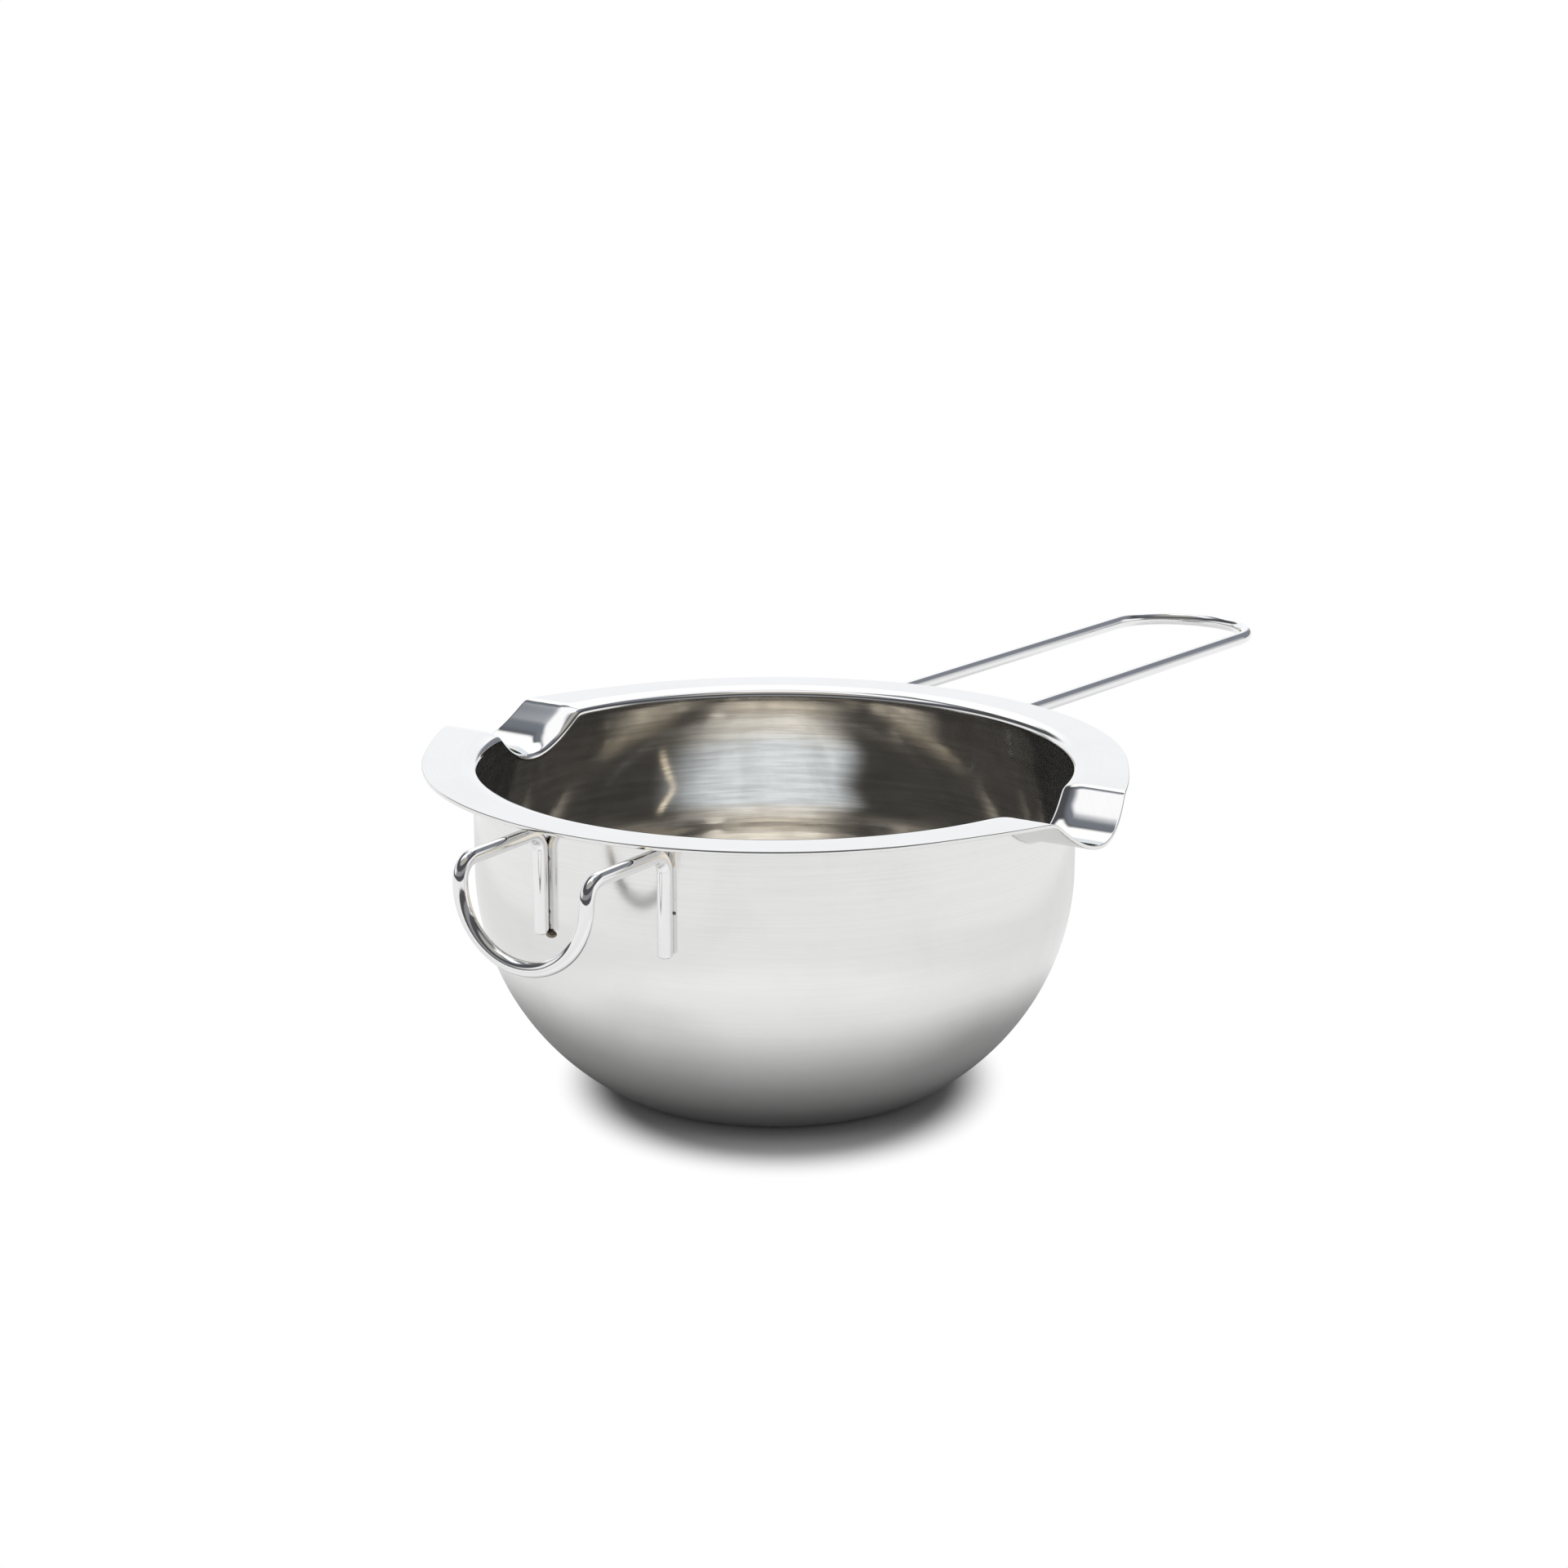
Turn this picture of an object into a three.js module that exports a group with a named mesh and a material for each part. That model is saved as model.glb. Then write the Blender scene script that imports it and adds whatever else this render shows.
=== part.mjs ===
// A melting bowl that hangs in a pan of hot water, in stainless steel: one drawn sheet bowl with a
// flat rim and two pressed pouring spouts, a long wire handle, and a wire hook for the pan's edge.
// Millimetres, +Z up. The origin is the centre of the flat base. The handle points along +X, the
// hook along -X, and the spouts along +Y and -Y.

import * as THREE from 'three';

// Bowl
const RIM_DIAMETER = 120;
const RIM_FLAT = 6;
const RIM_ROLL_RADIUS = 6.3;
const RIM_ROLL_DEGREES = 22;
const RIM_BEND_RADIUS = 0.5;
const BOWL_HEIGHT = 57;
const STRAIGHT_WALL = 18.3;
const BASE_DIAMETER = 55;
const BASE_EDGE_RADIUS = 5;
const SHEET = 0.7;

// Pouring spouts
const SPOUT_WIDTH = 23;
const SPOUT_DEPTH = 5.9;
const SPOUT_REACH = 3.4;
const SPOUT_EAR_WIDTH = 62;
const SPOUT_ROOT = 24;
const SPOUT_FOLD_SOFTNESS = 0.12;

// Wires
const WIRE_DIAMETER = 2.5;
const WIRE_TO_WALL = 0.3;
const WIRE_BEND_RADIUS = 3.2;
const WIRE_LEG_LENGTH = 17.4;

// Handle
const HANDLE_WIDTH = 27.6;
const HANDLE_PAST_RIM = 103;
const HANDLE_TO_RIM = 0.45;
const HANDLE_DROOP_DEGREES = 1.9;

// Hook
const HOOK_WIDTH = 24.4;
const HOOK_PAST_RIM = 12.3;
const HOOK_TO_RIM = 1.2;
const HOOK_STRAIGHT = 0.3;

// Stainless steel, satin on the bowl's wall and bright on the wires
const SHEET_FINISH = { color: 0xd9dadb, roughness: 0.22, metalness: 1 };
const WIRE_FINISH = { color: 0xcfd2d6, roughness: 0.12, metalness: 1 };

// Facets
const TURN_STEPS = 96;
const TURN_CROWDING = 0.6;
const BELLY_STEPS = 9;
const EDGE_STEPS = 3;
const BEND_STEPS = 3;
const ROLL_STEPS = 2;
const ROOT_STEPS = 4;
const FLANGE_STEPS = 2;
const WIRE_SIDES = 12;
const WIRE_STEP_DEGREES = 15;
const SAME_STATION = 0.01;

// Sizes that follow from the ones above
const RIM_RADIUS = RIM_DIAMETER / 2;
const UNDER_RIM = BOWL_HEIGHT - SHEET;
const RIM_ROLL = THREE.MathUtils.degToRad(RIM_ROLL_DEGREES);
const ROLL_CENTRE = new THREE.Vector2(RIM_RADIUS - RIM_FLAT, UNDER_RIM - RIM_ROLL_RADIUS);
const BEND_CENTRE = new THREE.Vector2(-Math.sin(RIM_ROLL), Math.cos(RIM_ROLL))
  .multiplyScalar(RIM_ROLL_RADIUS - RIM_BEND_RADIUS)
  .add(ROLL_CENTRE);
const BEND_START = BEND_CENTRE.y;
const WALL_RADIUS = BEND_CENTRE.x - RIM_BEND_RADIUS;
const BASE_RADIUS = BASE_DIAMETER / 2;
const WIRE_RADIUS = WIRE_DIAMETER / 2;
const LEG_RADIUS = WALL_RADIUS + WIRE_TO_WALL + WIRE_RADIUS;

// The points of an arc in the bowl's section, from one angle to another, both ends included.
function arc(centre, radius, from, to, steps) {
  return Array.from({ length: steps + 1 }, (_, i) => {
    const angle = from + ((to - from) * i) / steps;
    return new THREE.Vector2(
      centre.x + radius * Math.cos(angle),
      centre.y + radius * Math.sin(angle),
    );
  });
}

// Points on a straight line in the bowl's section, both ends left out.
function between(a, b, steps) {
  return Array.from({ length: steps - 1 }, (_, i) => a.clone().lerp(b, (i + 1) / steps));
}

// One skin of the sheet, a distance inside the bowl's outer skin, from the axis out to the rim's
// edge: flat base, rounded base edge, belly, straight wall, a tight bend, a gentle roll and flat rim.
function skin(inset) {
  const bellyTop = BOWL_HEIGHT - STRAIGHT_WALL;
  const spread = WALL_RADIUS - BASE_RADIUS;
  const bellyRadius = (spread ** 2 + bellyTop ** 2) / (2 * spread);
  const belly = new THREE.Vector2(WALL_RADIUS - bellyRadius, bellyTop);

  // The base edge is a smaller arc that touches both the base and the belly from inside.
  const toEdge = bellyRadius - BASE_EDGE_RADIUS;
  const drop = bellyTop - BASE_EDGE_RADIUS;
  const edge = new THREE.Vector2(belly.x + Math.sqrt(toEdge ** 2 - drop ** 2), BASE_EDGE_RADIUS);
  const edgeAngle = Math.atan2(-drop, edge.x - belly.x);

  const rolled = Math.PI / 2 + RIM_ROLL;
  const bendArc = arc(BEND_CENTRE, RIM_BEND_RADIUS + inset, Math.PI, rolled, BEND_STEPS);
  const rollArc = arc(ROLL_CENTRE, RIM_ROLL_RADIUS + inset, rolled, Math.PI / 2, ROLL_STEPS);
  const bellyArc = arc(belly, bellyRadius - inset, edgeAngle, 0, BELLY_STEPS);
  const edgeArc = arc(edge, BASE_EDGE_RADIUS - inset, -Math.PI / 2, edgeAngle, EDGE_STEPS);
  const rimEdge = new THREE.Vector2(RIM_RADIUS, rollArc.at(-1).y);
  return [
    new THREE.Vector2(0, inset),
    ...edgeArc,
    ...bellyArc.slice(1),
    ...between(bellyArc.at(-1), bendArc[0], ROOT_STEPS),
    ...bendArc,
    ...rollArc.slice(1),
    ...between(rollArc.at(-1), rimEdge, FLANGE_STEPS),
    rimEdge,
  ];
}

// How far the channel of a spout is pressed in, from 0 on the flat rim to 1 along its middle.
function channelSection(across) {
  const soft = (value) => (value + Math.hypot(value, SPOUT_FOLD_SOFTNESS)) / 2;
  return soft(1 - (across / (SPOUT_WIDTH / 2)) ** 2) / soft(1);
}

// How far the rim is drawn out beside a spout, from 0 to 1 along its middle.
function earSection(across) {
  const share = Math.min(Math.abs(across) / (SPOUT_EAR_WIDTH / 2), 1);
  return (1 + Math.cos(Math.PI * share)) / 2;
}

// Presses both spouts into the turned bowl. The wall gives way from the spout's root upwards.
function pressSpouts(point) {
  const give = THREE.MathUtils.smoothstep(point.z, BOWL_HEIGHT - SPOUT_ROOT, BEND_START);
  const pastWall = Math.max(Math.hypot(point.x, point.y) - WALL_RADIUS, 0);
  const outward = pastWall / (RIM_RADIUS - WALL_RADIUS);
  point.z -= SPOUT_DEPTH * channelSection(point.x) * give;
  point.y += Math.sign(point.y) * SPOUT_REACH * earSection(point.x) * outward;
}

// Turns the evenly spread steps of the bowl closer together at the spouts and apart elsewhere.
function crowdTowardsSpouts(point) {
  const angle = Math.atan2(point.y, point.x);
  const radius = Math.hypot(point.x, point.y);
  const crowded = angle + (TURN_CROWDING / 2) * Math.sin(2 * angle);
  point.x = radius * Math.cos(crowded);
  point.y = radius * Math.sin(crowded);
}

function bowlGeometry() {
  const profile = [...skin(0), ...skin(SHEET).reverse()];
  const geometry = new THREE.LatheGeometry(profile, TURN_STEPS);
  geometry.rotateX(Math.PI / 2);
  const positions = geometry.attributes.position;
  const point = new THREE.Vector3();
  for (let i = 0; i < positions.count; i += 1) {
    point.fromBufferAttribute(positions, i);
    crowdTowardsSpouts(point);
    pressSpouts(point);
    positions.setXYZ(i, point.x, point.y, point.z);
  }
  geometry.computeVertexNormals();
  return geometry;
}

// A wire bent round the corners of a path, as on a bending drawing: straight runs, and an arc of
// the given radius at each corner. Its stations are close together in the arcs only, and two arcs
// that follow each other share the station between them.
class BentWire extends THREE.Curve {
  constructor(start, corners, end) {
    super();
    this.stations = [start];
    this.directions = [corners[0].at.clone().sub(start).normalize()];
    corners.forEach((corner, i) => {
      const before = i > 0 ? corners[i - 1].at : start;
      const after = i < corners.length - 1 ? corners[i + 1].at : end;
      this.addBend(before, corner, after);
    });
    this.stations.push(end);
    this.directions.push(end.clone().sub(corners.at(-1).at).normalize());
  }

  addBend(before, corner, after) {
    const into = corner.at.clone().sub(before).normalize();
    const out = after.clone().sub(corner.at).normalize();
    const turn = into.angleTo(out);
    const inward = out.clone().addScaledVector(into, -Math.cos(turn)).normalize();
    const centre = corner.at.clone()
      .addScaledVector(into, -corner.radius * Math.tan(turn / 2))
      .addScaledVector(inward, corner.radius);
    const steps = Math.ceil(THREE.MathUtils.radToDeg(turn) / WIRE_STEP_DEGREES);
    for (let i = 0; i <= steps; i += 1) {
      const angle = (turn * i) / steps;
      const direction = into.clone().multiplyScalar(Math.cos(angle))
        .addScaledVector(inward, Math.sin(angle));
      const station = centre.clone()
        .addScaledVector(inward, -corner.radius * Math.cos(angle))
        .addScaledVector(into, corner.radius * Math.sin(angle));
      if (station.distanceTo(this.stations.at(-1)) > SAME_STATION) {
        this.stations.push(station);
        this.directions.push(direction);
      }
    }
  }

  get steps() {
    return this.stations.length - 1;
  }

  getPointAt(share, target = new THREE.Vector3()) {
    return target.copy(this.stations[Math.round(share * this.steps)]);
  }

  getTangentAt(share, target = new THREE.Vector3()) {
    return target.copy(this.directions[Math.round(share * this.steps)]);
  }
}

function wireGeometry(path) {
  const section = new THREE.Shape(Array.from({ length: WIRE_SIDES }, (_, i) => {
    const angle = (2 * Math.PI * i) / WIRE_SIDES;
    return new THREE.Vector2(WIRE_RADIUS * Math.cos(angle), WIRE_RADIUS * Math.sin(angle));
  }));
  return new THREE.ExtrudeGeometry(section, { steps: path.steps, extrudePath: path });
}

// Where a wire's legs stand, measured out from the bowl's axis along the handle or the hook.
function legDistance(width) {
  return Math.sqrt(LEG_RADIUS ** 2 - (width / 2) ** 2);
}

// The long handle: up two legs on the wall, out under the rim, and round the far end in one loop.
function handlePath() {
  const side = HANDLE_WIDTH / 2;
  const level = UNDER_RIM - HANDLE_TO_RIM - WIRE_RADIUS;
  const near = legDistance(HANDLE_WIDTH);
  const far = RIM_RADIUS + HANDLE_PAST_RIM;
  const droop = Math.tan(THREE.MathUtils.degToRad(HANDLE_DROOP_DEGREES));
  const farLevel = level - (far - near) * droop;
  const legEnd = level - WIRE_LEG_LENGTH;
  return new BentWire(
    new THREE.Vector3(near, side, legEnd),
    [
      { at: new THREE.Vector3(near, side, level), radius: WIRE_BEND_RADIUS },
      { at: new THREE.Vector3(far, side, farLevel), radius: side },
      { at: new THREE.Vector3(far, -side, farLevel), radius: side },
      { at: new THREE.Vector3(near, -side, level), radius: WIRE_BEND_RADIUS },
    ],
    new THREE.Vector3(near, -side, legEnd),
  );
}

// The hook: up two legs on the wall, out under the rim, and down a short straight into a round loop.
function hookPath() {
  const side = HOOK_WIDTH / 2;
  const level = UNDER_RIM - HOOK_TO_RIM - WIRE_RADIUS;
  const near = -legDistance(HOOK_WIDTH);
  const far = -(RIM_RADIUS + HOOK_PAST_RIM);
  const loopLevel = level - WIRE_BEND_RADIUS - HOOK_STRAIGHT - side;
  const legEnd = level - WIRE_LEG_LENGTH;
  return new BentWire(
    new THREE.Vector3(near, side, legEnd),
    [
      { at: new THREE.Vector3(near, side, level), radius: WIRE_BEND_RADIUS },
      { at: new THREE.Vector3(far, side, level), radius: WIRE_BEND_RADIUS },
      { at: new THREE.Vector3(far, side, loopLevel), radius: side },
      { at: new THREE.Vector3(far, -side, loopLevel), radius: side },
      { at: new THREE.Vector3(far, -side, level), radius: WIRE_BEND_RADIUS },
      { at: new THREE.Vector3(near, -side, level), radius: WIRE_BEND_RADIUS },
    ],
    new THREE.Vector3(near, -side, legEnd),
  );
}

function namedMesh(name, geometry, finish) {
  const mesh = new THREE.Mesh(geometry, new THREE.MeshStandardMaterial(finish));
  mesh.name = name;
  return mesh;
}

const meltingBowl = new THREE.Group();
meltingBowl.add(
  namedMesh('bowl', bowlGeometry(), SHEET_FINISH),
  namedMesh('handle', wireGeometry(handlePath()), WIRE_FINISH),
  namedMesh('pan_hook', wireGeometry(hookPath()), WIRE_FINISH),
);

export default meltingBowl;
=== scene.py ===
# %% [markdown]
# # A melting bowl in stainless steel
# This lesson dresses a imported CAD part: a small bowl that hangs in a saucepan of hot water. It has
# one drawn sheet with a flat rim and two pressed spouts, a long wire handle, and a wire hook.
# The CAD solids are faceted. Polished steel shows every facet, because it mirrors the room, so all
# three pieces are made again here as fine meshes in the same place. The finishes come after that.

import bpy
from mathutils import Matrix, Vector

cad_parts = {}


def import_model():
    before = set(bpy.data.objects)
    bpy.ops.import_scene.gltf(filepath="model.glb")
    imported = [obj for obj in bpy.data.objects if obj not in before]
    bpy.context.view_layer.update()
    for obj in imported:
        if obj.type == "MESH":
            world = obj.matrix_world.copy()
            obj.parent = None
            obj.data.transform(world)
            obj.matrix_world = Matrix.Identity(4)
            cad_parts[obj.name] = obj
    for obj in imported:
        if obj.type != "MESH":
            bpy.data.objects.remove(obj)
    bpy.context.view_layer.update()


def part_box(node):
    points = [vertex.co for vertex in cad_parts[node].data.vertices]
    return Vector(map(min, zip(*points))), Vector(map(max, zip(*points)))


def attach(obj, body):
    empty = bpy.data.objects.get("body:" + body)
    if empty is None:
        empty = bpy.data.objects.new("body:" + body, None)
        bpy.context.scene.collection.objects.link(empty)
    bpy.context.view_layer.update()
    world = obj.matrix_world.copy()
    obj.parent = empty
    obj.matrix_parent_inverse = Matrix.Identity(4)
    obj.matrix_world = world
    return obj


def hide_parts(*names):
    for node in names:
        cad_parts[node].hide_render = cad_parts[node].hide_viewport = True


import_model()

# %% Tools
import math

import bmesh
import bpy
from mathutils import Matrix, Vector

print("Blender", bpy.app.version_string)

# %% [markdown]
# ## Sizes
# Everything is in metres, and the origin is the middle of the bowl's base. The CAD boxes give the
# overall sizes, so they are read from the frame instead of being typed again. The bends and the
# thickness of the sheet can't be read from a box, so they are named here.

# %% Sizes of the bowl
MM = 1000
_, bowl_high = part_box("bowl")
RIM_RADIUS = bowl_high.x
BOWL_HEIGHT = bowl_high.z
SPOUT_REACH = bowl_high.y - RIM_RADIUS
SHEET = 0.0007
RIM_FLAT = 0.0060
RIM_ROLL_RADIUS = 0.0063
RIM_ROLL = math.radians(22)
RIM_BEND_RADIUS = 0.0005
CUT_RADIUS = 0.00015
STRAIGHT_WALL = 0.0183
BASE_RADIUS = 0.0275
BASE_EDGE_RADIUS = 0.005
UNDER_RIM = BOWL_HEIGHT - SHEET
ROLL_CENTRE = (RIM_RADIUS - RIM_FLAT, UNDER_RIM - RIM_ROLL_RADIUS)
BEND_CENTRE = (ROLL_CENTRE[0] - (RIM_ROLL_RADIUS - RIM_BEND_RADIUS) * math.sin(RIM_ROLL),
               ROLL_CENTRE[1] + (RIM_ROLL_RADIUS - RIM_BEND_RADIUS) * math.cos(RIM_ROLL))
WALL_RADIUS = BEND_CENTRE[0] - RIM_BEND_RADIUS
BEND_START = BEND_CENTRE[1]
print(f"Rim {2 * MM * RIM_RADIUS:.1f} mm across, wall {2 * MM * WALL_RADIUS:.1f} mm across")

# %% [markdown]
# ## The bowl's section
# A press draws the real bowl from a disc, so every level is round. Its section is a flat base, a
# small base edge, a round belly, a straight wall, a bend and a flat rim. A Screw modifier could
# turn a drawn curve, but the section is only arcs and straight lines, and code places those
# exactly. Both faces of the sheet are listed, and the cut edge of the rim joins them with two small
# rounded corners, because a sharp edge would catch no light.

# %% The section
QUARTER = math.pi / 2
EDGE_STEPS, BELLY_STEPS, WALL_STEPS = 10, 40, 20
BEND_STEPS, ROLL_STEPS, FLAT_STEPS, CORNER_STEPS = 14, 10, 8, 5


def arc(centre, radius, start, stop, steps):
    """Points (distance from the axis, height) on an arc, both ends included."""
    angles = [start + (stop - start) * i / steps for i in range(steps + 1)]
    return [(centre[0] + radius * math.cos(a), centre[1] + radius * math.sin(a)) for a in angles]


def between(a, b, steps):
    """Points on a straight line, both ends left out."""
    shares = [i / steps for i in range(1, steps)]
    return [(a[0] + (b[0] - a[0]) * t, a[1] + (b[1] - a[1]) * t) for t in shares]


def skin(inset):
    """One face of the sheet, from the edge of the flat base out to the rim."""
    belly_top = BOWL_HEIGHT - STRAIGHT_WALL
    spread = WALL_RADIUS - BASE_RADIUS
    belly_radius = (spread**2 + belly_top**2) / (2 * spread)
    belly = (WALL_RADIUS - belly_radius, belly_top)
    drop = belly_top - BASE_EDGE_RADIUS
    reach = math.sqrt((belly_radius - BASE_EDGE_RADIUS) ** 2 - drop**2)
    edge = (belly[0] + reach, BASE_EDGE_RADIUS)
    edge_angle = math.atan2(-drop, reach)
    edge_arc = arc(edge, BASE_EDGE_RADIUS - inset, -QUARTER, edge_angle, EDGE_STEPS)
    belly_arc = arc(belly, belly_radius - inset, edge_angle, 0, BELLY_STEPS)
    roll_start = QUARTER + RIM_ROLL
    bend_arc = arc(BEND_CENTRE, RIM_BEND_RADIUS + inset, math.pi, roll_start, BEND_STEPS)
    bend_arc += arc(ROLL_CENTRE, RIM_ROLL_RADIUS + inset, roll_start, QUARTER, ROLL_STEPS)[1:]
    rim = (RIM_RADIUS - CUT_RADIUS, bend_arc[-1][1])
    before_rim = (rim[0] - CUT_RADIUS, rim[1])
    wall = between(belly_arc[-1], bend_arc[0], WALL_STEPS)
    flat = between(bend_arc[-1], before_rim, FLAT_STEPS)
    return edge_arc + belly_arc[1:] + wall + bend_arc + flat + [before_rim, rim]


outside = skin(0)
inside = skin(SHEET)
CORNER = RIM_RADIUS - CUT_RADIUS
lower_corner = arc((CORNER, UNDER_RIM + CUT_RADIUS), CUT_RADIUS, -QUARTER, 0, CORNER_STEPS)
upper_corner = arc((CORNER, BOWL_HEIGHT - CUT_RADIUS), CUT_RADIUS, 0, QUARTER, CORNER_STEPS)
cut_edge = lower_corner[1:] + upper_corner[:-1]
print(f"Section: {len(outside)} points outside, {len(inside)} inside, {len(cut_edge)} on the cut edge")

# %% [markdown]
# ## Pouring spouts
# A punch presses a channel across the rim on each side, and the sheet beside it is drawn out into
# two ears. Sculpting could do it, but it would be hard to repeat on the other side. Here two smooth
# functions move the points of the finished section: one for the channel and one for the ears.

# %% Spouts
SPOUT_WIDTH = 0.023
SPOUT_DEPTH = 0.0059
SPOUT_EAR_WIDTH = 0.062
SPOUT_ROOT = 0.024
SPOUT_FOLD_SOFTNESS = 0.12


def smooth_step(value, low, high):
    share = min(max((value - low) / (high - low), 0), 1)
    return share * share * (3 - 2 * share)


def channel_section(across):
    """From 0 on the flat rim to 1 along the middle of the channel."""
    def soft(value):
        return (value + math.hypot(value, SPOUT_FOLD_SOFTNESS)) / 2

    return soft(1 - (across / (SPOUT_WIDTH / 2)) ** 2) / soft(1)


def ear_section(across):
    """From 0 on the round rim to 1 along the middle of the spout."""
    share = min(abs(across) / (SPOUT_EAR_WIDTH / 2), 1)
    return (1 + math.cos(math.pi * share)) / 2


def press_spouts(point):
    """Moves one point of the turned bowl as the punch and the drawn ears move it."""
    give = smooth_step(point.z, BOWL_HEIGHT - SPOUT_ROOT, BEND_START)
    past_wall = max(point.xy.length - WALL_RADIUS, 0)
    outward = past_wall / (RIM_RADIUS - WALL_RADIUS)
    point.z -= SPOUT_DEPTH * channel_section(point.x) * give
    point.y += math.copysign(SPOUT_REACH * ear_section(point.x) * outward, point.y)


print(f"Channel {MM * SPOUT_WIDTH:.0f} mm wide, {MM * SPOUT_DEPTH:.1f} mm deep")

# %% [markdown]
# ## Turning the bowl
# The section is turned about the axis in many small steps. The steps crowd together at the spouts,
# where the sheet folds, and spread out elsewhere. The faces get one of three material places:
# satin outside, spun polish inside, and a bright rim from the bend to the cut edge.

# %% Rings and discs
TURN_STEPS = 480
TURN_CROWDING = 0.6
DISC_SHARES = (0.75, 0.5, 0.25)


def turned_angle(step):
    angle = 2 * math.pi * step / TURN_STEPS
    return angle + TURN_CROWDING / 2 * math.sin(2 * angle)


def ring(mesh, radius, height):
    """A ring of points at one place of the section, pressed where a spout is."""
    points = []
    for step in range(TURN_STEPS):
        angle = turned_angle(step)
        point = Vector((radius * math.cos(angle), radius * math.sin(angle), height))
        press_spouts(point)
        points.append(mesh.verts.new(point))
    return points


def join_rings(mesh, lower, upper, place):
    for i, vertex in enumerate(lower):
        after = (i + 1) % len(lower)
        face = mesh.faces.new((vertex, lower[after], upper[after], upper[i]))
        face.material_index = place
        face.smooth = True


def close_middle(mesh, edge, height, place):
    """A flat disc inside the ring at the base's edge, in rings so that it stays smooth."""
    rings = [edge]
    radius = edge[0].co.xy.length
    for share in DISC_SHARES:
        rings.append(ring(mesh, radius * share, height))
    for outer, inner in zip(rings, rings[1:]):
        join_rings(mesh, inner, outer, place)
    middle = mesh.verts.new((0, 0, height))
    for i, vertex in enumerate(rings[-1]):
        face = mesh.faces.new((vertex, rings[-1][(i + 1) % TURN_STEPS], middle))
        face.material_index = place
        face.smooth = True


print("Turned in", TURN_STEPS, "steps")

# %% The bowl
OUTSIDE, INSIDE, RIM = range(3)


def finish_mesh(mesh, name):
    """Turns a bmesh into an object with its faces pointing out."""
    bmesh.ops.recalc_face_normals(mesh, faces=mesh.faces)
    data = bpy.data.meshes.new(name)
    mesh.to_mesh(data)
    mesh.free()
    piece = bpy.data.objects.new(name, data)
    bpy.context.scene.collection.objects.link(piece)
    return piece


def make_bowl():
    mesh = bmesh.new()
    section = [(p, OUTSIDE) for p in outside] + [(p, RIM) for p in cut_edge]
    section += [(p, RIM if p[1] > BEND_START else INSIDE) for p in reversed(inside)]
    rings = [(ring(mesh, *point), place) for point, place in section]
    for (lower, place), (upper, _) in zip(rings, rings[1:]):
        join_rings(mesh, lower, upper, place)
    close_middle(mesh, rings[0][0], 0, OUTSIDE)
    close_middle(mesh, rings[-1][0], SHEET, INSIDE)
    return finish_mesh(mesh, "bowl_fine")


bowl = make_bowl()
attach(bowl, "root")
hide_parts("bowl")
print("Bowl:", len(bowl.data.vertices), "points")

# %% [markdown]
# ## Wires
# The handle and the hook are round wire, bent on a former and welded to the wall. A Curve with a
# bevel would give the tube, but not the softened cut ends. So a ring of points is carried along the
# bent path instead, without twisting, and a few smaller rings round off each end. The CAD legs stand
# a hair off the wall. Here they sink into it by a tenth of a millimetre, as a weld makes them.

# %% Sizes of the wires
WIRE_RADIUS = 0.00125
WIRE_BEND_RADIUS = 0.0032
WELD_SINK = 0.0001
HANDLE_DROOP_DEGREES = 1.9
HOOK_STRAIGHT = 0.0003
LEG_RADIUS = WALL_RADIUS - WELD_SINK + WIRE_RADIUS
handle_low, handle_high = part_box("handle")
hook_low, hook_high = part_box("pan_hook")
HANDLE_SIDE = handle_high.y - WIRE_RADIUS
HANDLE_LEVEL = handle_high.z - WIRE_RADIUS
HANDLE_FAR = handle_high.x - WIRE_RADIUS
HOOK_SIDE = hook_high.y - WIRE_RADIUS
HOOK_LEVEL = hook_high.z - WIRE_RADIUS
HOOK_FAR = hook_low.x + WIRE_RADIUS
WIRE_LEG_LENGTH = HANDLE_LEVEL - handle_low.z


def leg_distance(side):
    return math.sqrt(LEG_RADIUS**2 - side**2)


print(f"Wires {2 * MM * HANDLE_SIDE:.1f} and {2 * MM * HOOK_SIDE:.1f} mm apart, middle to middle")

# %% A bent path
WIRE_STEP = math.radians(5)
SAME_PLACE = 1e-5
OTHER_SIDE = Matrix.Diagonal((1, -1, 1))


def bent_path(start, corners, end):
    """Stations (place, direction) along straight runs with an arc at each corner (place, radius)."""
    places = [start] + [place for place, _ in corners] + [end]
    stations = [(start, (places[1] - start).normalized())]
    for i, (corner, radius) in enumerate(corners, 1):
        into = (corner - places[i - 1]).normalized()
        out = (places[i + 1] - corner).normalized()
        turn = into.angle(out)
        inward = (out - into * math.cos(turn)).normalized()
        centre = corner - into * radius * math.tan(turn / 2) + inward * radius
        steps = math.ceil(turn / WIRE_STEP)
        for step in range(steps + 1):
            angle = turn * step / steps
            place = centre - inward * radius * math.cos(angle) + into * radius * math.sin(angle)
            direction = into * math.cos(angle) + inward * math.sin(angle)
            if (place - stations[-1][0]).length > SAME_PLACE:
                stations.append((place, direction))
    stations.append((end, (end - places[-2]).normalized()))
    return stations


def handle_path():
    near = leg_distance(HANDLE_SIDE)
    far_level = HANDLE_LEVEL - (HANDLE_FAR - near) * math.tan(math.radians(HANDLE_DROOP_DEGREES))
    corners = [
        (Vector((near, HANDLE_SIDE, HANDLE_LEVEL)), WIRE_BEND_RADIUS),
        (Vector((HANDLE_FAR, HANDLE_SIDE, far_level)), HANDLE_SIDE),
        (Vector((HANDLE_FAR, -HANDLE_SIDE, far_level)), HANDLE_SIDE),
        (Vector((near, -HANDLE_SIDE, HANDLE_LEVEL)), WIRE_BEND_RADIUS),
    ]
    start = Vector((near, HANDLE_SIDE, handle_low.z))
    return bent_path(start, corners, Vector((near, -HANDLE_SIDE, handle_low.z)))


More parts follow.
